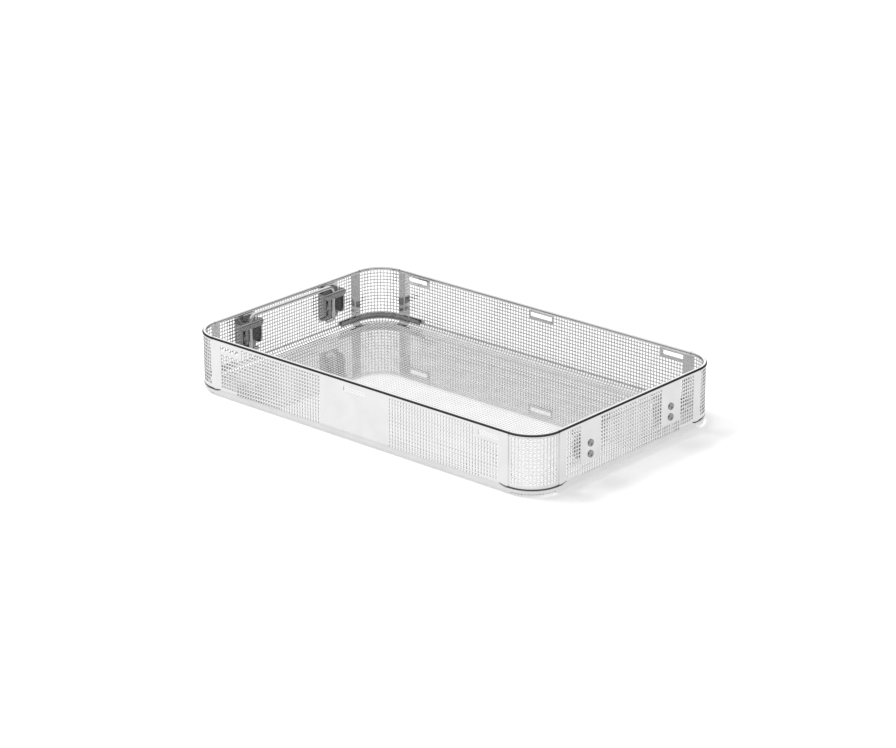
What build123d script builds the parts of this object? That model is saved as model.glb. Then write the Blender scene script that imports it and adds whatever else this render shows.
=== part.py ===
from build123d import *
from math import cos, pi, sin
import os

# Autoclave basket: a folded sheet pan, four lapped corner panels, a pressed gusset in each
# bottom corner, and a drop handle inside each short wall.
# Millimetres. +X runs along the long side, -Y is the front and +Z is up.
# The origin is the centre of the underside, on the surface that the basket stands on.

# ---------------------------------------------------------------- pan
length = 406.0  # outside, over the short walls
width = 253.0  # outside, over the long walls
height = 56.0  # from the underside to the top of the rim
corner_radius = 30.0  # outside of the corners, on plan
fold_radius = 6.5  # outside of the fold between floor and wall
sheet = 0.9
rim_diameter = 4.0  # rolled rim, flush with the outside of the wall

# ---------------------------------------------------------------- corner joints
seam_gap = 0.5  # between a wall's edge and the corner's arc
end_strip = 8.9  # plain strip at each end of a wall
lip_height = 2.7  # upturned edge of the floor, round each corner
slit_height = 0.9  # gap between that lip and what stands above it
slit_rise = 2.1  # how far the slit's two ends turn up under a wall's end strip
slit_rise_length = 5.4
panel_sheet = 0.8
panel_lap = 4.0  # part of a corner panel behind a wall
panel_clearance = 0.3  # below the rolled rim and above the fold

# ---------------------------------------------------------------- perforation
# Square holes on a square grid. They are drawn larger than the finished sheet's fine holes,
# with the same share of open area, so that the solid stays light.
hole = 10.35  # side of a hole
bar = 4.15  # least sheet left between two holes
hole_field_bottom = 5.6  # lower edge of the lowest row in a wall
hole_field_drop = 5.9  # from the top of the rim to the upper edge of the top row
panel_holes_bottom = 8.0  # lower edge of the lowest row in a corner panel
panel_edge = 2.4  # plain edge of a corner panel's arc, beside each wall
floor_border = 5.0  # plain border inside the fold
plate_length = 82.8  # plain field in the middle of the front wall
slot_border = 3.0  # least plain sheet at a tag slot's ends
bracket_field = 28.0  # width of the plain field behind a handle bracket
bracket_field_below = 2.0  # how far that field runs on below the bracket

# ---------------------------------------------------------------- corner gussets
gusset_sheet = 0.9
gusset_height = 9.4  # from the underside to the top edge
gusset_arm = 26.5  # past the corner's arc, along a wall, at the foot
gusset_flange = 3.4  # flat part on the floor
gusset_end_slope = 2.0  # the arm's end leans back by this much over its height

# ---------------------------------------------------------------- tag slots in the long walls
slot_height = 3.8
slot_drop = 10.1  # from the top of the rim to the slots' middle line
end_slot_length = 22.0
end_slot_inset = 21.2  # from a wall's end to the middle of its slot
middle_slot_length = 25.0
slot_corner = 0.8

# ---------------------------------------------------------------- drop handles
wire = 4.0
leg_spacing = 110.4  # between leg axes
leg_depth = 6.4  # from the inside of a short wall to the leg axis
leg_length = 33.0  # from the grip's axis to the foot's axis
grip_bend = 6.0  # to the wire's axis
foot_bend = 3.0  # to the wire's axis
foot_length = 10.0  # from the leg axis to the tip
foot_tip_radius = 1.2

# ---------------------------------------------------------------- handle brackets
bracket_sheet = 1.0
bracket_width = 28.0
bracket_drop = 10.0  # from the top of the rim to the bracket's roof
bracket_height = 29.0
tongue_radius = 8.0  # lower corners of the back plate
cheek_height = 24.0
cheek_corner = 6.0
cheek_edge = 2.4  # turned-in edge of a cheek, overall
cheek_bend = 1.6  # outside
leg_gap = 0.6  # between a leg and the front lip
lip_drop = 6.0
lip_corner = 4.0
roof_bend = 2.0  # outside
leg_clearance = 0.1  # radial, in the roof

# ---------------------------------------------------------------- rivets
rivet_shank = 3.2
rivet_clearance = 0.02  # radial
rivet_head = 6.5
rivet_head_thickness = 0.8
rivet_dish_radius = 4.5
rivet_dish_depth = 0.5
rivet_drops = [13.5, 23.4]  # from the bracket's roof

# ---------------------------------------------------------------- worked out from the sizes above
half_x = length / 2
half_y = width / 2
arc_x = half_x - corner_radius
arc_y = half_y - corner_radius
wall_end_x = arc_x - seam_gap
wall_end_y = arc_y - seam_gap
rim_radius = rim_diameter / 2
rim_z = height - rim_radius
inner_x = half_x - sheet
panel_inset = sheet + panel_sheet
hole_field_top = height - hole_field_drop
slot_z = height - slot_drop
end_slot_x = wall_end_x - end_slot_inset
bracket_top = height - bracket_drop
bracket_bottom = bracket_top - bracket_height
cheek_bottom = bracket_top - cheek_height
rivet_z = [bracket_top - drop for drop in rivet_drops]
leg_x = inner_x - leg_depth
leg_y = leg_spacing / 2
# Handle down, the grip's bends rest on the roofs' holes.
grip_z = bracket_top - bracket_sheet + grip_bend
foot_z = grip_z - leg_length
signs = {"left": -1, "right": 1, "front": -1, "back": 1}

os.makedirs("parts", exist_ok=True)


def spread(low, high):
    """Centres of as many holes as fit between two edges, spread evenly."""
    count = int((high - low + bar) / (hole + bar))
    pitch = (high - low - hole) / (count - 1)
    return [low + hole / 2 + i * pitch for i in range(count)]


def plan_outline(inset):
    """Basket's outline on plan, inset from the outside."""
    return RectangleRounded(length - 2 * inset, width - 2 * inset, corner_radius - inset)


# ---------------------------------------------------------------- pan
with BuildPart() as pan:
    with BuildSketch():
        RectangleRounded(length, width, corner_radius)
    extrude(amount=rim_z)
    fillet(pan.faces().sort_by(Axis.Z)[0].edges(), fold_radius)
    offset(amount=-sheet, openings=pan.faces().sort_by(Axis.Z)[-1])
    # Above the lip, the corners stay open for the corner panels.
    with BuildSketch(Plane.XY.offset(lip_height)):
        with GridLocations(length, width, 2, 2):
            Rectangle(2 * (half_x - wall_end_x), 2 * (half_y - wall_end_y))
    extrude(amount=height, mode=Mode.SUBTRACT)
    # A slit runs on from each open corner, under the end strips, and turns up at its end.
    slit_z = lip_height + slit_height / 2
    for wall_plane, wall_end, reach in (
        (Plane.XZ, wall_end_x, width),
        (Plane.YZ, wall_end_y, length),
    ):
        strip_start = wall_end - end_strip
        with BuildSketch(wall_plane):
            with BuildLine():
                Line((wall_end + 1, slit_z), (strip_start + slit_rise_length, slit_z))
                TangentArc(
                    (strip_start + slit_rise_length, slit_z),
                    (strip_start, slit_z + slit_rise),
                    tangent=(-1, 0),
                )
            trace(line_width=slit_height)
            mirror(about=Plane.YZ)
        extrude(amount=reach, both=True, mode=Mode.SUBTRACT)
    # Rolled rim along each wall.
    with BuildSketch(Plane.YZ):
        with Locations((0, rim_z)):
            with GridLocations(width - rim_diameter, 0, 2, 1):
                Circle(rim_radius)
    extrude(amount=wall_end_x, both=True)
    with BuildSketch(Plane.XZ):
        with Locations((0, rim_z)):
            with GridLocations(length - rim_diameter, 0, 2, 1):
                Circle(rim_radius)
    extrude(amount=wall_end_y, both=True)
    # Tag slots through both long walls.
    with BuildSketch(Plane.XZ):
        with Locations((-end_slot_x, slot_z), (end_slot_x, slot_z)):
            RectangleRounded(end_slot_length, slot_height, slot_corner)
        with Locations((0, slot_z)):
            RectangleRounded(middle_slot_length, slot_height, slot_corner)
    extrude(amount=width, both=True, mode=Mode.SUBTRACT)
    # Rivet holes through both short walls.
    with BuildSketch(Plane.YZ):
        with Locations([(y, z) for y in (-leg_y, leg_y) for z in rivet_z]):
            Circle(rivet_shank / 2 + rivet_clearance)
    extrude(amount=length, both=True, mode=Mode.SUBTRACT)
    # Perforated short walls, plain behind the handle brackets.
    wall_rows = spread(hole_field_bottom, hole_field_top)
    end_holes = []
    for y in spread(end_strip - wall_end_y, wall_end_y - end_strip):
        at_bracket = abs(abs(y) - leg_y) < (bracket_field + hole) / 2 - bar
        for z in wall_rows:
            if not (at_bracket and z + hole / 2 > bracket_bottom - bracket_field_below):
                end_holes.append((y, z))
    for sx in (-1, 1):
        with BuildSketch(Plane.YZ.offset(sx * half_x)):
            with Locations(end_holes):
                Rectangle(hole, hole)
        extrude(amount=-sx * 2 * sheet, mode=Mode.SUBTRACT)
    # Perforated long walls: the top row stops at the tag slots, and the front has a plain plate.
    slots = [(-end_slot_x, end_slot_length), (0, middle_slot_length), (end_slot_x, end_slot_length)]
    for front in (True, False):
        wall_holes = []
        for x in spread(end_strip - wall_end_x, wall_end_x - end_strip):
            at_slot = any(abs(x - c) < (l + hole) / 2 + slot_border for c, l in slots)
            in_plate = front and abs(x) < (plate_length + hole) / 2
            for z in wall_rows:
                if not in_plate and not (at_slot and z + hole / 2 > slot_z - slot_height / 2):
                    wall_holes.append((x, z))
        with BuildSketch(Plane.XZ.offset(half_y if front else sheet * 2 - half_y)):
            with Locations(wall_holes):
                Rectangle(hole, hole)
        extrude(amount=-2 * sheet, mode=Mode.SUBTRACT)
    # Perforated floor, plain along the fold and round the corners.
    floor_x = half_x - fold_radius - floor_border
    floor_y = half_y - fold_radius - floor_border
    floor_corner = corner_radius - fold_radius - floor_border
    floor_holes = []
    for x in spread(-floor_x, floor_x):
        for y in spread(-floor_y, floor_y):
            past_x = max(0, abs(x) + hole / 2 - floor_x + floor_corner)
            past_y = max(0, abs(y) + hole / 2 - floor_y + floor_corner)
            if past_x**2 + past_y**2 < floor_corner**2:
                floor_holes.append((x, y))
    with BuildSketch():
        with Locations(floor_holes):
            Rectangle(hole, hole)
    extrude(amount=2 * sheet, mode=Mode.SUBTRACT)
pan.part.label = "basket_pan"
export_step(pan.part, "parts/basket_pan.step")

# ---------------------------------------------------------------- corner panels
for end in ("front", "back"):
    for side in ("left", "right"):
        sx, sy = signs[side], signs[end]
        arc_centre = (sx * arc_x, sy * arc_y)
        with BuildPart() as corner_panel:
            # Round skin, from just above the floor's lip up into the rim.
            with BuildSketch(Plane.XY.offset(lip_height + slit_height)):
                with Locations(arc_centre):
                    Circle(corner_radius - sheet)
                    Circle(corner_radius - panel_inset, mode=Mode.SUBTRACT)
                    with Locations((sx * corner_radius / 2, sy * corner_radius / 2)):
                        Rectangle(corner_radius, corner_radius, mode=Mode.INTERSECT)
            extrude(amount=rim_z - lip_height - slit_height)
            # Its perforation, column by column round the arc.
            arc_length = (corner_radius - sheet) * pi / 2
            for run in spread(panel_edge, arc_length - panel_edge):
                turn = run / arc_length * pi / 2
                out = Vector(sx * cos(turn), sy * sin(turn))
                column = Plane(origin=arc_centre, x_dir=Vector(0, 0, 1).cross(out), z_dir=out)
                with BuildSketch(column.offset(corner_radius)):
                    with Locations([(0, z) for z in spread(panel_holes_bottom, hole_field_top)]):
                        Rectangle(hole, hole)
                extrude(amount=-corner_radius / 2, mode=Mode.SUBTRACT)
            # Flat edges that lap behind the two walls, clear of their fold and rim.
            with BuildSketch(Plane.XY.offset(fold_radius + panel_clearance)):
                with Locations((sx * (arc_x - panel_lap / 2), sy * (half_y - sheet - panel_sheet / 2))):
                    Rectangle(panel_lap, panel_sheet)
                with Locations((sx * (half_x - sheet - panel_sheet / 2), sy * (arc_y - panel_lap / 2))):
                    Rectangle(panel_sheet, panel_lap)
            extrude(amount=height - rim_diameter - fold_radius - 2 * panel_clearance)
            # Rolled rim round the arc.
            with BuildSketch(Plane.XZ.offset(-sy * arc_y)):
                with Locations((sx * (half_x - rim_radius), rim_z)):
                    Circle(rim_radius)
            revolve(axis=Axis((*arc_centre, 0), (0, 0, sx * sy)), revolution_arc=90)
        name = f"corner_panel_{end}_{side}"
        corner_panel.part.label = name
        export_step(corner_panel.part, f"parts/{name}.step")

# ---------------------------------------------------------------- corner gussets
for end in ("front", "back"):
    for side in ("left", "right"):
        sx, sy = signs[side], signs[end]
        foot_x = arc_x - gusset_arm
        foot_y = arc_y - gusset_arm
        with BuildPart() as gusset:
            with BuildSketch(Plane.XY.offset(sheet)):
                plan_outline(panel_inset)
            extrude(amount=gusset_height - sheet)
            fillet(gusset.faces().sort_by(Axis.Z)[0].edges(), fold_radius - sheet)
            offset(amount=-gusset_sheet, openings=gusset.faces().sort_by(Axis.Z)[-1])
            # The middle of the floor is cut away up to the flange.
            with BuildSketch():
                plan_outline(panel_inset + fold_radius - sheet + gusset_flange)
            extrude(amount=height, mode=Mode.SUBTRACT)
            # Both arms end on a slope.
            lean = gusset_end_slope / gusset_height
            split(bisect_by=Plane(origin=(sx * foot_x, 0, 0), z_dir=(sx, 0, -lean)), keep=Keep.TOP)
            split(bisect_by=Plane(origin=(0, sy * foot_y, 0), z_dir=(0, sy, -lean)), keep=Keep.TOP)
        name = f"corner_gusset_{end}_{side}"
        gusset.part.label = name
        export_step(gusset.part, f"parts/{name}.step")

# ---------------------------------------------------------------- handle brackets
for side in ("left", "right"):
    for end in ("front", "back"):
        sx, sy = signs[side], signs[end]
        seat = (sx * inner_x, sy * leg_y, 0)
        # The side view looks along Y, with its x axis from the wall to the inside.
        side_view = Plane(origin=seat, x_dir=(-sx, 0, 0), z_dir=(0, sx, 0))
        top_view = Plane(origin=seat, x_dir=(-sx, 0, 0), z_dir=(0, 0, 1))
        front_view = Plane(origin=seat, x_dir=(0, 1, 0), z_dir=(1, 0, 0))
        mid_sheet = bracket_sheet / 2
        lip_depth = leg_depth + wire / 2 + leg_gap + bracket_sheet
        cheek_depth = lip_depth - bracket_sheet - leg_gap
        with BuildPart() as bracket:
            # Back plate, roof and front lip are one bent strip.
            with BuildSketch(side_view):
                with BuildLine():
                    strip = FilletPolyline(
                        (mid_sheet, bracket_bottom),
                        (mid_sheet, bracket_top - mid_sheet),
                        (lip_depth - mid_sheet, bracket_top - mid_sheet),
                        (lip_depth - mid_sheet, bracket_top - lip_drop),
                        radius=roof_bend - mid_sheet,
                    )
                trace(line_width=bracket_sheet)
            extrude(amount=bracket_width / 2, both=True)
            # Front view: the tongue below and the ends of the lip are rounded.
            tongue_edges = bracket.edges().filter_by(Axis.X).group_by(Axis.Z)[0]
            fillet(tongue_edges, tongue_radius)
            lip_face = bracket.faces().filter_by(Axis.Z).sort_by(Axis.Z)[1]
            fillet(lip_face.edges().filter_by(Axis.X), lip_corner)
            # Cheeks with turned-in edges.
            with BuildSketch(top_view.offset(cheek_bottom)):
                with BuildLine():
                    cheek = FilletPolyline(
                        (mid_sheet, bracket_width / 2 - mid_sheet),
                        (cheek_depth - mid_sheet, bracket_width / 2 - mid_sheet),
                        (cheek_depth - mid_sheet, bracket_width / 2 - cheek_edge),
                        radius=cheek_bend - mid_sheet,
                    )
                    mirror(about=Plane.XZ)
                trace(line_width=bracket_sheet)
            extrude(amount=bracket_top - mid_sheet - cheek_bottom)
            with BuildSketch(side_view):
                with Locations((cheek_depth - cheek_corner / 2, cheek_bottom + cheek_corner / 2)):
                    Rectangle(cheek_corner, cheek_corner)
                with Locations((cheek_depth - cheek_corner, cheek_bottom + cheek_corner)):
                    Circle(cheek_corner, mode=Mode.SUBTRACT)
            extrude(amount=bracket_width, both=True, mode=Mode.SUBTRACT)
            # Hole for the leg through the roof, and rivet holes through the back plate.
            with BuildSketch(top_view.offset(bracket_top)):
                with Locations((leg_depth, 0)):
                    Circle(wire / 2 + leg_clearance)
            extrude(amount=-lip_drop, mode=Mode.SUBTRACT)
            with BuildSketch(front_view):
                with Locations([(0, z) for z in rivet_z]):
                    Circle(rivet_shank / 2 + rivet_clearance)
            extrude(amount=2 * bracket_sheet, both=True, mode=Mode.SUBTRACT)
        name = f"handle_bracket_{side}_{end}"
        bracket.part.label = name
        export_step(bracket.part, f"parts/{name}.step")

# ---------------------------------------------------------------- bracket rivets
grip = sheet + bracket_sheet
with BuildPart() as rivet:
    # Half profile: dished outer head, shank through wall and back plate, inner head.
    with BuildSketch(Plane.XZ):
        with Locations((rivet_head / 4, -rivet_head_thickness / 2)):
            Rectangle(rivet_head / 2, rivet_head_thickness)
        with Locations((rivet_head / 4, grip + rivet_head_thickness / 2)):
            Rectangle(rivet_head / 2, rivet_head_thickness)
        with Locations((rivet_shank / 4, grip / 2)):
            Rectangle(rivet_shank / 2, grip)
        with Locations((0, rivet_dish_depth - rivet_head_thickness - rivet_dish_radius)):
            Circle(rivet_dish_radius, mode=Mode.SUBTRACT)
    revolve(axis=Axis.Z)

rivet_seats = []
for sx in (-1, 1):
    for sy in (-1, 1):
        for z in rivet_z:
            seat = (sx * half_x, sy * leg_y, z)
            rivet_seats.append(Plane(origin=seat, x_dir=(0, 1, 0), z_dir=(-sx, 0, 0)))
with BuildPart() as rivets:
    with Locations(*rivet_seats):
        add(rivet.part)
rivets.part.label = "bracket_rivets"
export_step(rivets.part, "parts/bracket_rivets.step")

# ---------------------------------------------------------------- drop handles
for side in ("left", "right"):
    sx = signs[side]
    with BuildPart() as bail:
        with BuildLine(Plane.YZ.offset(sx * leg_x)):
            wire_line = FilletPolyline(
                (foot_length - leg_y, foot_z),
                (-leg_y, foot_z),
                (-leg_y, grip_z),
                (leg_y, grip_z),
                (leg_y, foot_z),
                (leg_y - foot_length, foot_z),
                radius=[foot_bend, grip_bend, grip_bend, foot_bend],
            )
        with BuildSketch(Plane(origin=wire_line @ 0, z_dir=wire_line % 0)):
            Circle(wire / 2)
        sweep()
        fillet(bail.faces().filter_by(GeomType.PLANE).edges(), foot_tip_radius)
    name = f"bail_{side}"
    bail.part.label = name
    export_step(bail.part, f"parts/{name}.step")
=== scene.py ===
"""Looks of an autoclave basket: perforated sheet pan, lapped corner panels and drop handles."""

import math

import bmesh
import bpy
from mathutils import Matrix, Vector


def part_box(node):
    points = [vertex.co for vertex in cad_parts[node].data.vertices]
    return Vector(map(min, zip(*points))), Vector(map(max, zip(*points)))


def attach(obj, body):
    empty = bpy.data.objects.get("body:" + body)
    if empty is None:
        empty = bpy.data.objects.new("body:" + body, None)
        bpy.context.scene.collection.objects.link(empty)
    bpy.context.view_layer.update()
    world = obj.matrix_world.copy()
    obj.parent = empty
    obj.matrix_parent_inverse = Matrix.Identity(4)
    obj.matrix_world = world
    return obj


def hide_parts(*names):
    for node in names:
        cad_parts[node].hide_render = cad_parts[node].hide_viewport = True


bl_info = {
    "name": "Autoclave basket",
    "version": (1, 0, 0),
    "blender": (4, 5, 0),
    "location": "View3D > Sidebar > Basket",
    "description": "Builds a perforated autoclave basket and its studio around a packed frame",
    "category": "Object",
}

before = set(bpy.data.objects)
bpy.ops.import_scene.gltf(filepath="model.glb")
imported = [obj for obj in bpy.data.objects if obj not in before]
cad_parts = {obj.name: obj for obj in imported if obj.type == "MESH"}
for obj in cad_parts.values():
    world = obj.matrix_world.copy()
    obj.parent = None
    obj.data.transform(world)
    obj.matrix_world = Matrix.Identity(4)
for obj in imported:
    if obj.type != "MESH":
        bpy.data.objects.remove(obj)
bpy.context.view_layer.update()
MM = 0.001
BODY = "basket"

# The pan's high corner, read from the frame, in metres.
HALF_X, HALF_Y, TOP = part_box("basket_pan")[1]

WALL_TURNS = {"front": 0, "right": 90, "back": 180, "left": -90}
CORNER_SIGNS = {
    "front_left": (-1, -1),
    "front_right": (1, -1),
    "back_left": (-1, 1),
    "back_right": (1, 1),
}

# Sheets are laid out flat, with a fold's radius as its quarter turn, so lengths round a fold
# are drawn shorter by this factor.
FOLD_SHRINK = 2 / math.pi
FOLD_STEPS = 8
# The walls whose fold has rows of holes too.
PERFORATED_FOLDS = ("back", "left")
FOLD_HOLE_ROWS = 3
LIP_HOLE_ROWS = 2
LIP_STEPS = 6
PANEL_COLUMNS = 13

# The slit's end turns up over this share of an end strip, and dies out at this height.
SLIT_RISE_SHARE = 0.6
SLIT_RISE_STEPS = 4
SLIT_RISE_CURVE = 1.5
SLIT_RISE_TOP = 14 * MM

# In the lowest row, the holes past these distances from a wall's middle are left out.
LONG_WALL_LOW_ROW = 144 * MM
SHORT_WALL_LOW_ROW = 68 * MM
# The rows that a tag slot's plain border takes, and the rows left below a bracket's field.
SLOT_ROWS = 3
ROWS_BELOW_BRACKET = 3
# Part of a pitch by which a short wall's field may outgrow its room.
FIELD_OVERHANG = 0.3

# Steps round bends, and the shapes of the gussets' ends and the handles' tips.
ARC_STEPS = 16
FLOOR_CORNER_STEPS = 10
GUSSET_STEPS = 4
GUSSET_END_LEAN = 2.0 * MM
RIM_SEGMENTS = 24
RIM_CORNER_STEPS = 18
WIRE_SEGMENTS = 20
WIRE_BEND_STEPS = 8
WIRE_TIP_ROUNDING = 0.9 * MM

# Lines and points nearer than these are made one, and what lies beside a cut keeps clear of it.
LINE_GAP = 0.03 * MM
CLEARANCE = 0.3 * MM
SAME_POINT = 1e-6
ON_PLANE = 1e-7
SHARP_ANGLE = math.radians(32)

# Each metal: its material's name, its colour setting, roughness, ripple and grain.
METALS = {
    "sheet": ("electropolished_sheet", "sheet", 0.065, 0.02, 0.05),
    "rim": ("rolled_rim", "sheet", 0.12, 0.05, 0.0),
    "gusset": ("pressed_gusset", "gusset", 0.2, 0.05, 0.0),
    "bracket": ("polished_bracket", "bracket", 0.16, 0.05, 0.0),
    "rivet": ("turned_rivet", "bracket", 0.2, 0.05, 0.0),
    "wire": ("drawn_wire", "wire", 0.12, 0.05, 0.0),
}
# The cloudy polish, grain and ripple that all the metals share.
CLOUD_SCALE = 55
CLOUD_EDGES = (0.35, 0.65)
CLOUD_SHADE = 0.95
CLOUD_POLISH = (0.8, 1.2)
GRAIN_SCALE = 900
RIPPLE_HEIGHT = 0.3 * MM
# The rim's dark line is painted shade, a dark band painted on its outer upper face: where it lies,
# as a tilt and as shares of the rim's radius.
RIM_PAINTED_SHADE_TILT = math.radians(28)
RIM_PAINTED_SHADE_EDGES = (0.79, 0.89)
RIM_PAINTED_SHADE_COLOUR = (0.10, 0.10, 0.10, 1)
# Heights between which the fold's finish sets in and ends, and the roughness that the walls
# and the fold have over the floor's.
FOLD_FINISH_START = (1.1 * MM, 2.0 * MM)
FOLD_FINISH_END = (9.5 * MM, 7.5 * MM)
WALL_DULLING = 0.04
FOLD_DULLING = 0.4

# Stage: metres, degrees and strengths, where a strength of 1 is white.
TABLE_HALF = 6.0
TABLE_LIFT = 0.27
# The table as the metal mirrors it.
MIRRORED_SHARE = 0.85
MIRRORED_FADE = (0.42, 0.56)
MIRRORED_FAR = 0.05
# Painted shadow: past these x values the mirrored table is made a little darker on the right,
# where the basket's shadow falls.
MIRRORED_RIGHT_SHADOW_EDGES = (0.205, 0.222)
MIRRORED_RIGHT_SHADOW = 0.9
# The studio round the basket, its screen, ceiling and lamp.
ROOM_STRENGTH = 0.26
SCREEN_DIRECTION = (-0.537, 0.617, 0.574)
SCREEN_EDGES = (34, 24)
SCREEN_STRENGTH = 1.25
OVERHEAD_EDGES = (27, 38)
OVERHEAD_STRENGTH = 0.84
LAMP_PLACE = (-1.4, -0.45, 1.9)
LAMP_SIDE = 1.2
LAMP_WATTS = 48
CAMERA_PLACE = (1.64505, -1.88264, 0.97653)
CAMERA_AZIMUTH = 41.209
CAMERA_ELEVATION = 20.787
CAMERA_ROLL = -0.08
FOCAL_PIXELS = 3006.59
FRAME_WIDTH = 896


def length_prop(name, description, millimetres):
    """A length that a user can change."""
    return bpy.props.FloatProperty(
        name=name, description=description, default=millimetres * MM, unit="LENGTH"
    )


def colour_prop(name, description, colour):
    """A colour that a user can change."""
    return bpy.props.FloatVectorProperty(
        name=name, description=description, subtype="COLOR", size=3, default=colour
    )


class BasketSizes(bpy.types.PropertyGroup):
    """Sizes of the sheet work."""

    corner_radius: length_prop("Corner radius", "Outside of the corners, on plan", 30.0)
    fold_radius: length_prop("Fold radius", "Outside of the fold between floor and wall", 6.5)
    sheet: length_prop("Sheet", "Thickness of the pan's sheet", 0.9)
    panel_sheet: length_prop("Corner panel sheet", "Thickness of the corner panels", 0.8)
    panel_lap: length_prop("Lap", "Part of a corner panel behind a wall", 4.0)
    rim_diameter: length_prop("Rim", "Diameter of the rolled rim", 4.0)
    seam_gap: length_prop("Seam gap", "From a wall's edge to the corner's arc", 0.5)
    end_strip: length_prop("End strip", "Plain strip at each end of a wall", 8.9)
    lip_height: length_prop("Lip", "Upturned edge of the floor round each corner", 5.9)
    slit_height: length_prop("Slit", "Gap above that lip", 1.4)
    slit_rise: length_prop("Slit rise", "How far the slit's end turns up", 1.3)
    gusset_height: length_prop("Gusset height", "Top edge above the underside", 8.9)
    gusset_low: length_prop("Gusset low edge", "Low edge above the underside", 4.6)
    gusset_arm: length_prop("Gusset arm", "Reach past the corner's arc", 26.5)
    wire: length_prop("Wire", "Diameter of the handle wire", 4.0)
    grip_bend: length_prop("Grip bend", "Bend radius at the grip's ends", 6.0)
    foot_bend: length_prop("Foot bend", "Bend radius at the feet", 3.0)
    foot_length: length_prop("Foot", "From the leg axis to the foot's tip", 10.0)


class PerforationSizes(bpy.types.PropertyGroup):
    """Square perforation, and the fields left plain in it."""

    pitch: length_prop("Pitch", "From hole to hole", 3.214)
    row_pitch: length_prop("Row pitch", "From row to row up a wall", 3.25)
    hole: length_prop("Hole", "Side of a square hole", 2.3)
    top_row: length_prop("Top row", "Height of the centre of the top row", 50.8)
    floor_border: length_prop("Floor border", "Plain border of the floor", 0.5)
    plate_half: length_prop("Plain plate", "Half length of the front wall's plain field", 41.4)
    slot_z: length_prop("Slot height above the underside", "Centre of the tag slots", 47.7)
    slot_height: length_prop("Slot", "Height of the tag slots", 3.8)
    end_slot_x: length_prop("End slot place", "Centre of the slots near the corners", 151.3)
    end_slot: length_prop("End slot", "Length of the slots near the corners", 22.0)
    middle_slot: length_prop("Middle slot", "Length of the middle slot", 25.0)
    slot_border: length_prop("Slot border", "Plain border at a slot's ends", 3.0)
    bracket_y: length_prop("Bracket place", "Centre of a bracket's plain field", 55.2)
    bracket_field: length_prop("Bracket field", "Width of a bracket's plain field", 28.0)
    rows: bpy.props.IntProperty(name="Rows", description="Rows up a wall", default=14)


class BasketColours(bpy.types.PropertyGroup):
    """Colours of the metals and the stage."""

    sheet: colour_prop("Sheet", "Electropolished stainless sheet", (0.86, 0.86, 0.86))
    # The bracket colour, which the rivets share, is set far darker than the sheet as painted
    # shade, standing in for the dark reflections the brackets show.
    bracket: colour_prop("Bracket", "Folded stainless brackets", (0.38, 0.38, 0.38))
    # The gusset colour is set far darker than the sheet as painted shade, for the dark band the
    # gussets show in the bottom corners.
    gusset: colour_prop("Gusset", "Pressed corner gussets", (0.42, 0.42, 0.42))
    wire: colour_prop("Wire", "Drawn stainless wire", (0.76, 0.76, 0.76))
    table: colour_prop("Table", "Pale table", (0.86, 0.86, 0.86))


# ---------------------------------------------------------------- materials
def map_range(tree, value, start, end, low=0.0, high=1.0, smooth=False):
    """A value carried from the range start..end to low..high, and held at its ends."""
    node = tree.nodes.new("ShaderNodeMapRange")
    if smooth:
        node.interpolation_type = "SMOOTHSTEP"
    node.inputs["From Min"].default_value = start
    node.inputs["From Max"].default_value = end
    node.inputs["To Min"].default_value = low
    node.inputs["To Max"].default_value = high
    tree.links.new(value, node.inputs["Value"])
    return node.outputs["Result"]


def vector_step(tree, operation, vector, other=None):
    """A vector after one operation, with a fixed second vector where it takes one."""
    node = tree.nodes.new("ShaderNodeVectorMath")
    node.operation = operation
    if other is not None:
        node.inputs[1].default_value = other
    tree.links.new(vector, node.inputs[0])
    return node.outputs["Value" if operation in ("LENGTH", "DOT_PRODUCT") else "Vector"]


def number_step(tree, operation, *operands):
    """A number after one operation, whose operands are sockets or fixed numbers."""
    node = tree.nodes.new("ShaderNodeMath")
    node.operation = operation
    for socket, operand in zip(node.inputs, operands):
        if isinstance(operand, bpy.types.NodeSocket):
            tree.links.new(operand, socket)
        else:
            socket.default_value = operand
    return node.outputs["Value"]


def parts_of(tree, vector):
    """The X, Y and Z of a vector."""
    node = tree.nodes.new("ShaderNodeSeparateXYZ")
    tree.links.new(vector, node.inputs["Vector"])
    return node.outputs


def noise(tree, place, scale, detail):
    """Fine or coarse noise over the piece."""
    node = tree.nodes.new("ShaderNodeTexNoise")
    node.inputs["Scale"].default_value = scale
    node.inputs["Detail"].default_value = detail
    tree.links.new(place, node.inputs["Vector"])
    return node.outputs["Fac"]


def rim_painted_shade(tree, place, colour):
    """Painted shade: a dark line painted along the outer upper face of the rolled rim."""
    sizes = bpy.context.scene.basket_sizes
    radius = sizes.rim_diameter / 2
    arc_centre = (HALF_X - sizes.corner_radius, HALF_Y - sizes.corner_radius, 0)
    past = vector_step(tree, "SUBTRACT", vector_step(tree, "ABSOLUTE", place), arc_centre)
    outer = vector_step(tree, "MAXIMUM", past, (0, 0, 0))
    reach = vector_step(tree, "LENGTH", vector_step(tree, "MULTIPLY", outer, (1, 1, 0)))
    upward, outward = math.sin(RIM_PAINTED_SHADE_TILT), math.cos(RIM_PAINTED_SHADE_TILT)
    rim_centre = upward * (TOP - radius) + outward * (sizes.corner_radius - radius)
    up = number_step(tree, "MULTIPLY_ADD", parts_of(tree, outer)["Z"], upward, -rim_centre)
    out = number_step(tree, "MULTIPLY_ADD", reach, outward, up)
    start, end = (share * radius for share in RIM_PAINTED_SHADE_EDGES)
    mix = tree.nodes.new("ShaderNodeMixRGB")
    mix.inputs["Color2"].default_value = RIM_PAINTED_SHADE_COLOUR
    tree.links.new(map_range(tree, out, start, end), mix.inputs["Fac"])
    tree.links.new(colour, mix.inputs["Color1"])
    return mix.outputs["Color"]


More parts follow.
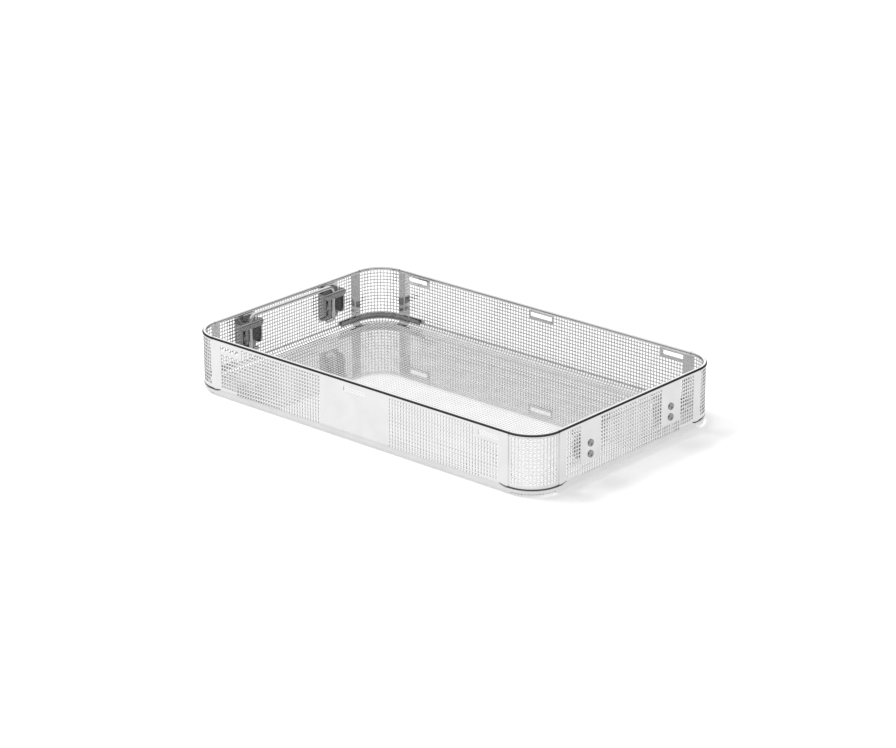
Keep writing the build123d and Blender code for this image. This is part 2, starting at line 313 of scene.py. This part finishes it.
def fold_dulling(tree, place, roughness):
    """Duller finish where the sheet was folded up, and a little duller on the walls."""
    height = parts_of(tree, place)["Z"]
    above = map_range(tree, height, *FOLD_FINISH_START)
    below = map_range(tree, height, *FOLD_FINISH_END, WALL_DULLING, FOLD_DULLING)
    return number_step(tree, "MULTIPLY_ADD", above, below, roughness)


def steel(kind, name, colour, roughness, ripple, grain):
    """Stainless steel with a cloudy polish, a faint ripple, grain, a painted shade line on the rim
    and a duller fold on the sheet.
    """
    material = bpy.data.materials.new(name)
    material.use_nodes = True
    tree = material.node_tree
    shader = tree.nodes["Principled BSDF"]
    shader.inputs["Metallic"].default_value = 1.0
    place = tree.nodes.new("ShaderNodeTexCoord").outputs["Object"]
    cloud = noise(tree, place, CLOUD_SCALE, 4)

    tint = tree.nodes.new("ShaderNodeValToRGB")
    shaded = [CLOUD_SHADE * c for c in colour]
    for element, edge, shade in zip(tint.color_ramp.elements, CLOUD_EDGES, (shaded, colour)):
        element.position = edge
        element.color = (*shade, 1)
    tree.links.new(cloud, tint.inputs["Fac"])
    base = tint.outputs["Color"]
    # The rim's colour gets a painted shade line along its outer upper face.
    if kind == "rim":
        base = rim_painted_shade(tree, place, base)
    tree.links.new(base, shader.inputs["Base Color"])

    polish = map_range(tree, cloud, 0.0, 1.0, *(roughness * share for share in CLOUD_POLISH))
    if kind == "sheet":
        polish = fold_dulling(tree, place, polish)
    tree.links.new(polish, shader.inputs["Roughness"])

    bump = tree.nodes.new("ShaderNodeBump")
    bump.inputs["Strength"].default_value = ripple
    bump.inputs["Distance"].default_value = RIPPLE_HEIGHT
    fine = noise(tree, place, GRAIN_SCALE, 2)
    surface = number_step(tree, "MULTIPLY_ADD", fine, grain, cloud)
    tree.links.new(surface, bump.inputs["Height"])
    tree.links.new(bump.outputs["Normal"], shader.inputs["Normal"])


def make_metals():
    """Makes the basket's metals."""
    colours = bpy.context.scene.basket_colours
    for kind, (name, colour, *finish) in METALS.items():
        steel(kind, name, getattr(colours, colour), *finish)


def metal(kind):
    """One of the basket's metals."""
    return bpy.data.materials[METALS[kind][0]]


# ---------------------------------------------------------------- mesh work
def add_piece(bm, name, kind, nodes, body=BODY):
    """Makes a bmesh a piece that rides on a body and stands for its CAD nodes."""
    mesh = bpy.data.meshes.new(name)
    bm.to_mesh(mesh)
    bm.free()
    mesh.shade_smooth()
    mesh.set_sharp_from_angle(angle=SHARP_ANGLE)
    mesh.materials.append(metal(kind))
    piece = bpy.data.objects.new(name, mesh)
    bpy.context.scene.collection.objects.link(piece)
    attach(piece, body)
    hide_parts(*nodes)


def lined_sheet(u_lines, v_lines, is_open):
    """A flat sheet divided along the given lines, without the cells that are open."""
    bm = bmesh.new()
    across, up = len(u_lines) - 1, len(v_lines) - 1
    bmesh.ops.create_grid(bm, x_segments=across, y_segments=up, size=0.5)
    for v in bm.verts:
        v.co.x = u_lines[round((v.co.x + 0.5) * across)]
        v.co.y = v_lines[round((v.co.y + 0.5) * up)]
    gone = [f for f in bm.faces if is_open(*f.calc_center_median().xy)]
    bmesh.ops.delete(bm, geom=gone, context="FACES")
    return bm


def bend_sheet(bm, place, thickness, inner_point):
    """Moves each point to its place on the outside, then gives the sheet its thickness inwards."""
    for v in bm.verts:
        v.co = place(v.co.x, v.co.y)
    bm.normal_update()
    face = max(bm.faces, key=lambda f: f.calc_area())
    if face.normal.dot(Vector(inner_point) - face.calc_center_median()) > 0:
        bmesh.ops.reverse_faces(bm, faces=bm.faces)
        bm.normal_update()
    bmesh.ops.solidify(bm, geom=bm.faces[:], thickness=thickness)
    bmesh.ops.recalc_face_normals(bm, faces=bm.faces)


def merged_lines(*groups):
    """Sorted lines, with lines that nearly coincide made one."""
    lines = []
    for line in sorted(x for group in groups for x in group):
        if not lines or line - lines[-1] > LINE_GAP:
            lines.append(line)
    return lines


def hole_edges(centres, hole):
    """Both edges of each hole in a row."""
    return [c + side * hole / 2 for c in centres for side in (-1, 1)]


def evenly(start, end, steps):
    """Lines that divide a length into equal steps."""
    return [start + k * (end - start) / steps for k in range(steps + 1)]


def row_of(count, pitch, middle=0.0):
    """Evenly spaced centres about a middle."""
    return [middle + (i - (count - 1) / 2) * pitch for i in range(count)]


def near(value, centres, reach):
    """The nearest centre within reach, or None."""
    best = min(centres, key=lambda c: abs(c - value), default=None)
    return best if best is not None and abs(best - value) < reach else None


def fold_profile(v, radius):
    """Inset and height at a developed distance v up a wall from the floor's edge."""
    if v >= radius:
        return 0.0, v
    turn = (1 - v / radius) * math.pi / 2
    return radius * (1 - math.cos(turn)), radius * (1 - math.sin(turn))


def fold_distance(z, radius):
    """Developed distance up a wall at a height."""
    if z >= radius:
        return z
    return radius * (1 - math.asin(1 - z / radius) / (math.pi / 2))


def wall_rows(sizes):
    """Heights of the rows of holes, top first."""
    return [sizes.top_row - k * sizes.row_pitch for k in range(sizes.rows)]


# ---------------------------------------------------------------- walls
def wall_sheet(half_length, columns, is_plain, slots, side, half_depth):
    """One wall with its fold, perforated except where it is plain, turned to its side."""
    sizes = bpy.context.scene.basket_sizes
    holes = bpy.context.scene.basket_perforation
    rows = wall_rows(holes)
    radius = sizes.fold_radius
    wall_end = half_length - sizes.seam_gap
    strip_start = wall_end - sizes.end_strip
    slit_low = fold_distance(sizes.lip_height, radius)
    slit_high = fold_distance(sizes.lip_height + sizes.slit_height, radius)
    slit_flat = strip_start + SLIT_RISE_SHARE * sizes.end_strip
    rise_lines = evenly(strip_start, slit_flat, SLIT_RISE_STEPS)
    slot_low = holes.slot_z - holes.slot_height / 2
    slot_high = holes.slot_z + holes.slot_height / 2

    ends = rise_lines + [wall_end, half_length]
    fold_hole, fold_pitch = holes.hole * FOLD_SHRINK, holes.pitch * FOLD_SHRINK
    fold_columns, fold_rows = [], []
    if side in PERFORATED_FOLDS:
        fold_columns = row_of(int(2 * wall_end / holes.pitch), holes.pitch)
        fold_rows = row_of(FOLD_HOLE_ROWS, fold_pitch, FOLD_HOLE_ROWS * fold_pitch / 2)
    slot_edges = [edge for c, length in slots for edge in hole_edges([c], length)]
    u_lines = merged_lines(
        hole_edges(columns, holes.hole),
        hole_edges(fold_columns, holes.hole),
        ends,
        [-e for e in ends],
        slot_edges,
    )
    slit = (slit_low, slit_high)
    v_lines = merged_lines(
        hole_edges(rows, holes.hole),
        hole_edges(fold_rows, fold_hole),
        [v for v in evenly(0, radius, FOLD_STEPS) if near(v, slit, CLEARANCE) is None],
        slit,
        [TOP - sizes.rim_diameter / 2],
        [slot_low, slot_high] if slots else [],
    )

    def is_open(u, v):
        if abs(u) > wall_end and v > slit_low:
            return True
        if abs(u) > strip_start and slit_low < v < slit_high:
            return True
        if near(v, fold_rows, fold_hole / 2) is not None:
            in_column = near(u, fold_columns, holes.hole / 2) is not None
            return in_column and abs(u) < strip_start - sizes.seam_gap
        if slot_low < v < slot_high and any(abs(u - c) < size / 2 for c, size in slots):
            return True
        column, row = near(u, columns, holes.hole / 2), near(v, rows, holes.hole / 2)
        if column is None or row is None:
            return False
        return not is_plain(column, rows.index(row))

    turned = Matrix.Rotation(math.radians(WALL_TURNS[side]), 3, "Z")

    def place(u, v):
        rise = 0.0
        if strip_start - MM < abs(u) < slit_flat:
            share = min(1.0, (slit_flat - abs(u)) / (slit_flat - strip_start))
            rise = sizes.slit_rise * share**SLIT_RISE_CURVE
            above = max(0.0, (SLIT_RISE_TOP - v) / (SLIT_RISE_TOP - slit_high))
            rise *= min(v / slit_low, above, 1.0)
        inset, z = fold_profile(v + rise, radius)
        return turned @ Vector((u, inset - half_depth, z))

    bm = lined_sheet(u_lines, v_lines, is_open)
    bend_sheet(bm, place, sizes.sheet, (0, 0, TOP / 2))
    return bm


def long_wall(side):
    """Front or back wall: tag slots, and on the front a plain plate in the middle."""
    holes = bpy.context.scene.basket_perforation
    sizes = bpy.context.scene.basket_sizes
    half_length = HALF_X - sizes.corner_radius
    field = half_length - sizes.seam_gap - sizes.end_strip
    columns = row_of(int(2 * field / holes.pitch), holes.pitch)
    slots = [
        (-holes.end_slot_x, holes.end_slot),
        (0.0, holes.middle_slot),
        (holes.end_slot_x, holes.end_slot),
    ]

    def is_plain(column, row):
        if side == "front" and abs(column) < holes.plate_half:
            return True
        if row == holes.rows - 1 and abs(column) > LONG_WALL_LOW_ROW:
            return True
        border = holes.slot_border
        by_slot = any(abs(column - c) < size / 2 + border for c, size in slots)
        return row < SLOT_ROWS and by_slot

    bm = wall_sheet(half_length, columns, is_plain, slots, side, HALF_Y)
    add_piece(bm, f"wall_{side}", "sheet", ["basket_pan"])


def short_wall(side):
    """Left or right wall: plain fields where the handle brackets are riveted."""
    holes = bpy.context.scene.basket_perforation
    sizes = bpy.context.scene.basket_sizes
    half_length = HALF_Y - sizes.corner_radius
    field = half_length - sizes.seam_gap - sizes.end_strip
    columns = row_of(2 * int(field / holes.row_pitch + FIELD_OVERHANG), holes.row_pitch)

    def is_plain(column, row):
        if row == holes.rows - 1 and abs(column) > SHORT_WALL_LOW_ROW:
            return True
        beside = abs(abs(column) - holes.bracket_y) < holes.bracket_field / 2
        return beside and row < holes.rows - ROWS_BELOW_BRACKET

    bm = wall_sheet(half_length, columns, is_plain, [], side, HALF_X)
    add_piece(bm, f"wall_{side}", "sheet", ["basket_pan"])


# ---------------------------------------------------------------- floor
def perforated_floor():
    """Flat floor up to the fold, with round corners."""
    sizes = bpy.context.scene.basket_sizes
    holes = bpy.context.scene.basket_perforation
    half_x, half_y = HALF_X - sizes.fold_radius, HALF_Y - sizes.fold_radius
    radius = sizes.corner_radius - sizes.fold_radius
    across = int(2 * (half_x - holes.floor_border) / holes.pitch)
    along = int(2 * (half_y - holes.floor_border) / holes.pitch)
    columns, rows = row_of(across, holes.pitch), row_of(along, holes.pitch)
    arc_x, arc_y = half_x - radius, half_y - radius

    def is_open(x, y):
        column, row = near(x, columns, holes.hole / 2), near(y, rows, holes.hole / 2)
        if column is None or row is None:
            return False
        out_x, out_y = abs(column) - arc_x, abs(row) - arc_y
        in_corner = out_x > 0 and out_y > 0
        return not in_corner or math.hypot(out_x, out_y) < radius - holes.floor_border

    x_lines = merged_lines(hole_edges(columns, holes.hole), [-half_x, half_x])
    y_lines = merged_lines(hole_edges(rows, holes.hole), [-half_y, half_y])
    bm = lined_sheet(x_lines, y_lines, is_open)
    for sx, sy in CORNER_SIGNS.values():
        centre = Vector((sx * arc_x, sy * arc_y, 0))
        for turn in evenly(0, math.pi / 2, FLOOR_CORNER_STEPS):
            out = Vector((sx * math.cos(turn), sy * math.sin(turn), 0))
            bmesh.ops.bisect_plane(
                bm,
                geom=bm.verts[:] + bm.edges[:] + bm.faces[:],
                dist=ON_PLANE,
                plane_co=centre + out * radius,
                plane_no=out,
                clear_outer=True,
            )
    bend_sheet(bm, lambda x, y: Vector((x, y, 0)), sizes.sheet, (0, 0, TOP))
    add_piece(bm, "floor", "sheet", ["basket_pan"])


def corner_point(corner, turn, run, inset):
    """Plan point near a corner: a turn round its arc, then a run along the wall it ends on."""
    sizes = bpy.context.scene.basket_sizes
    sx, sy = CORNER_SIGNS[corner]
    radius = sizes.corner_radius - inset
    out_x, out_y = radius * math.cos(turn), radius * math.sin(turn)
    arc_x, arc_y = HALF_X - sizes.corner_radius, HALF_Y - sizes.corner_radius
    if turn <= 0:
        out_y -= run
    else:
        out_x -= run
    return sx * (arc_x + out_x), sy * (arc_y + out_y)


def along_corner(u, arc_length):
    """Turn and run at a developed distance u, where 0 to arc_length is the arc itself."""
    if u < 0:
        return 0.0, -u
    if u > arc_length:
        return math.pi / 2, u - arc_length
    return u / arc_length * math.pi / 2, 0.0


def corner_lip(corner):
    """The floor's upturned edge round one corner, perforated like the floor."""
    sizes = bpy.context.scene.basket_sizes
    holes = bpy.context.scene.basket_perforation
    radius = sizes.fold_radius
    lip = fold_distance(sizes.lip_height, radius)
    arc = sizes.corner_radius * math.pi / 2
    columns = row_of(int(arc / holes.pitch), holes.pitch, arc / 2)
    fold_hole, fold_pitch = holes.hole * FOLD_SHRINK, holes.pitch * FOLD_SHRINK
    rows = row_of(LIP_HOLE_ROWS, fold_pitch, LIP_HOLE_ROWS * fold_pitch / 2)
    u_lines = merged_lines(hole_edges(columns, holes.hole), [0, arc])
    v_lines = merged_lines(hole_edges(rows, fold_hole), evenly(0, lip, LIP_STEPS))

    def is_open(u, v):
        in_row = near(v, rows, fold_hole / 2) is not None
        return in_row and near(u, columns, holes.hole / 2) is not None

    bm = lined_sheet(u_lines, v_lines, is_open)

    def place(u, v):
        inset, z = fold_profile(v, radius)
        return Vector((*corner_point(corner, *along_corner(u, arc), inset), z))

    bend_sheet(bm, place, sizes.sheet, (0, 0, TOP / 2))
    add_piece(bm, f"lip_{corner}", "sheet", ["basket_pan"])


# ---------------------------------------------------------------- corner panels
def corner_panel(corner):
    """Round perforated panel, with flat edges that lap behind the two walls."""
    sizes = bpy.context.scene.basket_sizes
    holes = bpy.context.scene.basket_perforation
    arc = (sizes.corner_radius - sizes.sheet) * math.pi / 2
    lap = sizes.panel_lap
    columns = row_of(PANEL_COLUMNS, holes.pitch, arc / 2)
    rows = wall_rows(holes)[:-1]
    bottom = sizes.lip_height + sizes.slit_height
    flap_low = bottom + CLEARANCE
    flap_high = TOP - sizes.rim_diameter - CLEARANCE
    top = TOP - sizes.rim_diameter / 2

    def is_open(u, v):
        if not 0 < u < arc:
            return not flap_low < v < flap_high
        column, row = near(u, columns, holes.hole / 2), near(v, rows, holes.hole / 2)
        return column is not None and row is not None

    def place(u, v):
        return Vector((*corner_point(corner, *along_corner(u, arc), sizes.sheet), v))

    u_lines = merged_lines(hole_edges(columns, holes.hole), [-lap, 0, arc, arc + lap])
    v_lines = merged_lines(hole_edges(rows, holes.hole), [bottom, flap_low, flap_high, top])
    bm = lined_sheet(u_lines, v_lines, is_open)
    bend_sheet(bm, place, sizes.panel_sheet, (0, 0, TOP / 2))
    add_piece(bm, f"panel_{corner}", "sheet", [f"corner_panel_{corner}"])


def corner_gusset(corner):
    """Pressed band inside the bottom corner, over the slit, with an arm along each wall."""
    sizes = bpy.context.scene.basket_sizes
    radius = sizes.fold_radius - sizes.sheet
    inset = sizes.sheet + sizes.panel_sheet
    arc = (sizes.corner_radius - inset) * math.pi / 2
    arm = sizes.gusset_arm
    height = sizes.gusset_height - sizes.sheet
    end_lean = GUSSET_END_LEAN / height

    def place(u, v):
        deep, z = fold_profile(v, radius)
        if u < -MM:
            u += end_lean * z * -u / arm
        elif u > arc + MM:
            u -= end_lean * z * (u - arc) / arm
        point = corner_point(corner, *along_corner(u, arc), inset + deep)
        return Vector((*point, sizes.sheet + z))

    u_lines = [-arm, -arm / 2] + evenly(0, arc, ARC_STEPS) + [arc + arm / 2, arc + arm]
    low = fold_distance(sizes.gusset_low - sizes.sheet, radius)
    v_lines = evenly(low, radius, GUSSET_STEPS) + [height]
    bm = lined_sheet(u_lines, v_lines, lambda u, v: False)
    bend_sheet(bm, place, sizes.sheet, (0, 0, TOP / 2))
    add_piece(bm, f"gusset_{corner}", "gusset", [f"corner_gusset_{corner}"])


# ---------------------------------------------------------------- rim
def wall_rim(side):
    """Rolled rim along one wall."""
    sizes = bpy.context.scene.basket_sizes
    radius = sizes.rim_diameter / 2
    long_side = side in ("front", "back")
    half_length = (HALF_X if long_side else HALF_Y) - sizes.corner_radius - sizes.seam_gap
    half_depth = HALF_Y if long_side else HALF_X
    bm = bmesh.new()
    bmesh.ops.create_cone(
        bm,
        cap_ends=True,
        segments=RIM_SEGMENTS,
        radius1=radius,
        radius2=radius,
        depth=2 * half_length,
        matrix=Matrix.Rotation(math.pi / 2, 4, "Y"),
    )
    place = Matrix.Rotation(math.radians(WALL_TURNS[side]), 4, "Z")
    place @= Matrix.Translation((0, radius - half_depth, TOP - radius))
    bmesh.ops.transform(bm, matrix=place, verts=bm.verts)
    add_piece(bm, f"rim_{side}", "rim", ["basket_pan"])


def corner_rim(corner):
    """Rolled rim round one corner, a quarter of a ring."""
    sizes = bpy.context.scene.basket_sizes
    radius = sizes.rim_diameter / 2
    sx, sy = CORNER_SIGNS[corner]
    arc_x, arc_y = HALF_X - sizes.corner_radius, HALF_Y - sizes.corner_radius
    centre = Vector((sx * arc_x, sy * arc_y, TOP - radius))
    start = centre + Vector((sx * (sizes.corner_radius - radius), 0, 0))
    bm = bmesh.new()
    bmesh.ops.create_circle(
        bm,
        cap_ends=True,
        segments=RIM_SEGMENTS,
        radius=radius,
        matrix=Matrix.Translation(start) @ Matrix.Rotation(math.pi / 2, 4, "X"),
    )
    bmesh.ops.spin(
        bm,
        geom=bm.faces[:],
        cent=centre,
        axis=(0, 0, 1),
        angle=sx * sy * math.pi / 2,
        steps=RIM_CORNER_STEPS,
        use_merge=False,
        use_normal_flip=False,
        use_duplicate=False,
    )
    bmesh.ops.recalc_face_normals(bm, faces=bm.faces)
    add_piece(bm, f"rim_{corner}", "rim", [f"corner_panel_{corner}"])


# ---------------------------------------------------------------- handles
def bent_wire(side):
    """A drop handle, bent from one wire: foot, leg, grip, leg and foot."""
    sizes = bpy.context.scene.basket_sizes
    low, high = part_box(f"bail_{side}")
    x = (low.x + high.x) / 2
    leg_y = high.y - sizes.wire / 2
    grip_z = high.z - sizes.wire / 2
    foot_z = low.z + sizes.wire / 2
    drop = grip_z - foot_z - sizes.grip_bend - sizes.foot_bend
    steps = [
        ("run", sizes.foot_length - sizes.foot_bend),
        ("bend", sizes.foot_bend),
        ("run", drop),
        ("bend", sizes.grip_bend),
        ("run", 2 * (leg_y - sizes.grip_bend)),
        ("bend", sizes.grip_bend),
        ("run", drop),
        ("bend", sizes.foot_bend),
        ("run", sizes.foot_length - sizes.foot_bend),
    ]
    at = Vector((x, leg_y - sizes.foot_length, foot_z))
    axis, heading = Vector((1, 0, 0)), Vector((0, 1, 0))
    bm = bmesh.new()
    bmesh.ops.create_circle(
        bm,
        cap_ends=True,
        segments=WIRE_SEGMENTS,
        radius=sizes.wire / 2,
        matrix=Matrix.Translation(at) @ Matrix.Rotation(math.pi / 2, 4, "X"),
    )
    end = bm.faces[:]
    for kind, size in steps:
        if kind == "run":
            made = bmesh.ops.extrude_face_region(bm, geom=end, use_keep_orig=len(bm.faces) == 1)
            end = [g for g in made["geom"] if isinstance(g, bmesh.types.BMFace)]
            bmesh.ops.translate(bm, vec=heading * size, verts=list(end[0].verts))
            at = at + heading * size
        else:
            side_way = axis.cross(heading)
            made = bmesh.ops.spin(
                bm,
                geom=end,
                cent=at + side_way * size,
                axis=axis,
                angle=math.pi / 2,
                steps=WIRE_BEND_STEPS,
                use_merge=False,
                use_normal_flip=False,
                use_duplicate=False,
            )
            end = [g for g in made["geom_last"] if isinstance(g, bmesh.types.BMFace)]
            at = at + (heading + side_way) * size
            heading = side_way
    bmesh.ops.remove_doubles(bm, verts=bm.verts, dist=SAME_POINT)
    bmesh.ops.bevel(
        bm,
        geom=[e for e in bm.edges if any(len(f.verts) > 4 for f in e.link_faces)],
        offset=WIRE_TIP_ROUNDING,
        offset_type="OFFSET",
        segments=3,
        profile=0.5,
        affect="EDGES",
        clamp_overlap=True,
        material=-1,
    )
    bmesh.ops.recalc_face_normals(bm, faces=bm.faces)
    add_piece(bm, f"handle_{side}", "wire", [f"bail_{side}"], f"bail_{side}")


# ---------------------------------------------------------------- stage
def table():
    """Wide pale table, which also keeps the basket's shadow."""
    bm = bmesh.new()
    bmesh.ops.create_grid(bm, x_segments=1, y_segments=1, size=TABLE_HALF)
    mesh = bpy.data.meshes.new("table")
    bm.to_mesh(mesh)
    bm.free()
    plane = bpy.data.objects.new("table", mesh)
    bpy.context.scene.collection.objects.link(plane)
    material = bpy.data.materials.new("pale_table")
    material.use_nodes = True
    tree = material.node_tree
    shader = tree.nodes["Principled BSDF"]
    shader.inputs["Base Color"].default_value = (*bpy.context.scene.basket_colours.table, 1)
    shader.inputs["Roughness"].default_value = 0.9
    shader.inputs["Specular IOR Level"].default_value = 0.0
    path = tree.nodes.new("ShaderNodeLightPath")
    lift = number_step(tree, "MULTIPLY", path.outputs["Is Camera Ray"], TABLE_LIFT)
    shader.inputs["Emission Color"].default_value = (1, 1, 1, 1)
    tree.links.new(lift, shader.inputs["Emission Strength"])

    # Seen in the metal, the table is nearly even, and dark away from the basket; a painted shadow
    # makes it a little darker on the right.
    place = tree.nodes.new("ShaderNodeTexCoord").outputs["Object"]
    away = vector_step(tree, "LENGTH", place)
    fade = map_range(tree, away, *MIRRORED_FADE, 1.0, MIRRORED_FAR, smooth=True)
    # Painted shadow: darker towards the right, where the basket's shadow lies.
    across = parts_of(tree, place)["X"]
    right = map_range(tree, across, *MIRRORED_RIGHT_SHADOW_EDGES, 1.0, MIRRORED_RIGHT_SHADOW)
    mirrored = tree.nodes.new("ShaderNodeEmission")
    level = number_step(tree, "MULTIPLY", fade, right)
    tree.links.new(level, mirrored.inputs["Strength"])
    share = number_step(tree, "MULTIPLY", path.outputs["Is Glossy Ray"], MIRRORED_SHARE)
    mix = tree.nodes.new("ShaderNodeMixShader")
    tree.links.new(share, mix.inputs["Fac"])
    tree.links.new(shader.outputs["BSDF"], mix.inputs[1])
    tree.links.new(mirrored.outputs["Emission"], mix.inputs[2])
    tree.links.new(mix.outputs["Shader"], tree.nodes["Material Output"].inputs["Surface"])
    mesh.materials.append(material)


def studio_light():
    """Dim studio with a bright screen behind, a bright ceiling and one soft lamp."""
    scene = bpy.context.scene
    world = bpy.data.worlds.new("studio")
    scene.world = world
    world.use_nodes = True
    tree = world.node_tree
    place = tree.nodes.new("ShaderNodeTexCoord").outputs["Generated"]
    towards = vector_step(tree, "DOT_PRODUCT", place, SCREEN_DIRECTION)
    edges = [math.cos(math.radians(angle)) for angle in SCREEN_EDGES]
    screen = map_range(tree, towards, *edges, ROOM_STRENGTH, SCREEN_STRENGTH, smooth=True)
    height = parts_of(tree, place)["Z"]
    edges = [math.sin(math.radians(angle)) for angle in OVERHEAD_EDGES]
    ceiling = map_range(tree, height, *edges, ROOM_STRENGTH, OVERHEAD_STRENGTH, smooth=True)
    brighter = number_step(tree, "MAXIMUM", screen, ceiling)
    background = tree.nodes["Background"]
    tree.links.new(brighter, background.inputs["Strength"])
    background.inputs["Color"].default_value = (1, 1, 1, 1)

    lamp_data = bpy.data.lights.new("soft_lamp", "AREA")
    lamp_data.shape = "RECTANGLE"
    lamp_data.size = LAMP_SIDE
    lamp_data.size_y = LAMP_SIDE
    lamp_data.energy = LAMP_WATTS
    lamp = bpy.data.objects.new("soft_lamp", lamp_data)
    lamp.location = LAMP_PLACE
    lamp.visible_glossy = False
    lamp.rotation_mode = "QUATERNION"
    lamp.rotation_quaternion = (-lamp.location).to_track_quat("-Z", "Y")
    scene.collection.objects.link(lamp)
    scene.view_settings.view_transform = "Standard"


def camera():
    """Long lens from the front right, above the basket."""
    data = bpy.data.cameras.new("camera")
    data.sensor_fit = "HORIZONTAL"
    data.sensor_width = 36.0
    data.lens = FOCAL_PIXELS * data.sensor_width / FRAME_WIDTH
    data.clip_end = 50
    cam = bpy.data.objects.new("camera", data)
    turned = Matrix.Rotation(math.radians(CAMERA_AZIMUTH), 4, "Z")
    turned @= Matrix.Rotation(math.radians(90 - CAMERA_ELEVATION), 4, "X")
    turned @= Matrix.Rotation(math.radians(CAMERA_ROLL), 4, "Z")
    cam.matrix_world = Matrix.Translation(CAMERA_PLACE) @ turned
    bpy.context.scene.collection.objects.link(cam)
    bpy.context.scene.camera = cam


# ---------------------------------------------------------------- operators
class BASKET_OT_floor(bpy.types.Operator):
    """Perforated floor and its upturned edge round the corners"""

    bl_idname = "basket.floor"
    bl_label = "Floor"

    def execute(self, context):
        perforated_floor()
        for corner in CORNER_SIGNS:
            corner_lip(corner)
        return {"FINISHED"}


class BASKET_OT_walls(bpy.types.Operator):
    """Four perforated walls, folded up from the floor"""

    bl_idname = "basket.walls"
    bl_label = "Walls"

    def execute(self, context):
        long_wall("front")
        long_wall("back")
        short_wall("left")
        short_wall("right")
        return {"FINISHED"}


class BASKET_OT_rim(bpy.types.Operator):
    """Rolled rim on the walls and corner panels"""

    bl_idname = "basket.rim"
    bl_label = "Rim"

    def execute(self, context):
        for side in WALL_TURNS:
            wall_rim(side)
        for corner in CORNER_SIGNS:
            corner_rim(corner)
        return {"FINISHED"}


class BASKET_OT_corners(bpy.types.Operator):
    """Corner panels and the gussets in the bottom corners"""

    bl_idname = "basket.corners"
    bl_label = "Corners"

    def execute(self, context):
        for corner in CORNER_SIGNS:
            corner_panel(corner)
            corner_gusset(corner)
        return {"FINISHED"}


class BASKET_OT_brackets(bpy.types.Operator):
    """Finish of the handle brackets and their rivets"""

    bl_idname = "basket.brackets"
    bl_label = "Brackets"

    def execute(self, context):
        for name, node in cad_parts.items():
            kind = "bracket" if name.startswith("handle_bracket") else "rivet"
            if name.startswith("handle_bracket") or name == "bracket_rivets":
                node.data.materials.clear()
                node.data.materials.append(metal(kind))
        return {"FINISHED"}


class BASKET_OT_handles(bpy.types.Operator):
    """Drop handles of bent wire"""

    bl_idname = "basket.handles"
    bl_label = "Handles"

    def execute(self, context):
        bent_wire("left")
        bent_wire("right")
        return {"FINISHED"}


class BASKET_OT_stage(bpy.types.Operator):
    """Pale table, soft studio light and the camera"""

    bl_idname = "basket.stage"
    bl_label = "Stage"

    def execute(self, context):
        table()
        studio_light()
        camera()
        return {"FINISHED"}


class BASKET_PT_panel(bpy.types.Panel):
    """Lists the pieces that can be built"""

    bl_label = "Basket"
    bl_idname = "BASKET_PT_panel"
    bl_space_type = "VIEW_3D"
    bl_region_type = "UI"
    bl_category = "Basket"

    def draw(self, context):
        for operator in OPERATORS:
            self.layout.operator(operator.bl_idname)
        for group in ("basket_sizes", "basket_perforation", "basket_colours"):
            settings = getattr(context.scene, group)
            for key in settings.bl_rna.properties.keys():
                if key not in ("rna_type", "name"):
                    self.layout.prop(settings, key)


OPERATORS = (
    BASKET_OT_stage,
    BASKET_OT_floor,
    BASKET_OT_walls,
    BASKET_OT_rim,
    BASKET_OT_corners,
    BASKET_OT_brackets,
    BASKET_OT_handles,
)
GROUPS = {
    "basket_sizes": BasketSizes,
    "basket_perforation": PerforationSizes,
    "basket_colours": BasketColours,
}


def register():
    """Registers the settings, the operators and the panel."""
    for name, group in GROUPS.items():
        bpy.utils.register_class(group)
        setattr(bpy.types.Scene, name, bpy.props.PointerProperty(type=group))
    for operator in OPERATORS:
        bpy.utils.register_class(operator)
    bpy.utils.register_class(BASKET_PT_panel)


def unregister():
    """Takes away what register added."""
    bpy.utils.unregister_class(BASKET_PT_panel)
    for operator in reversed(OPERATORS):
        bpy.utils.unregister_class(operator)
    for name, group in GROUPS.items():
        delattr(bpy.types.Scene, name)
        bpy.utils.unregister_class(group)


def main():
    """Builds the stage and every piece."""
    register()
    make_metals()
    bpy.ops.basket.stage()
    bpy.ops.basket.floor()
    bpy.ops.basket.walls()
    bpy.ops.basket.rim()
    bpy.ops.basket.corners()
    bpy.ops.basket.brackets()
    bpy.ops.basket.handles()


if __name__ == "__main__":
    main()
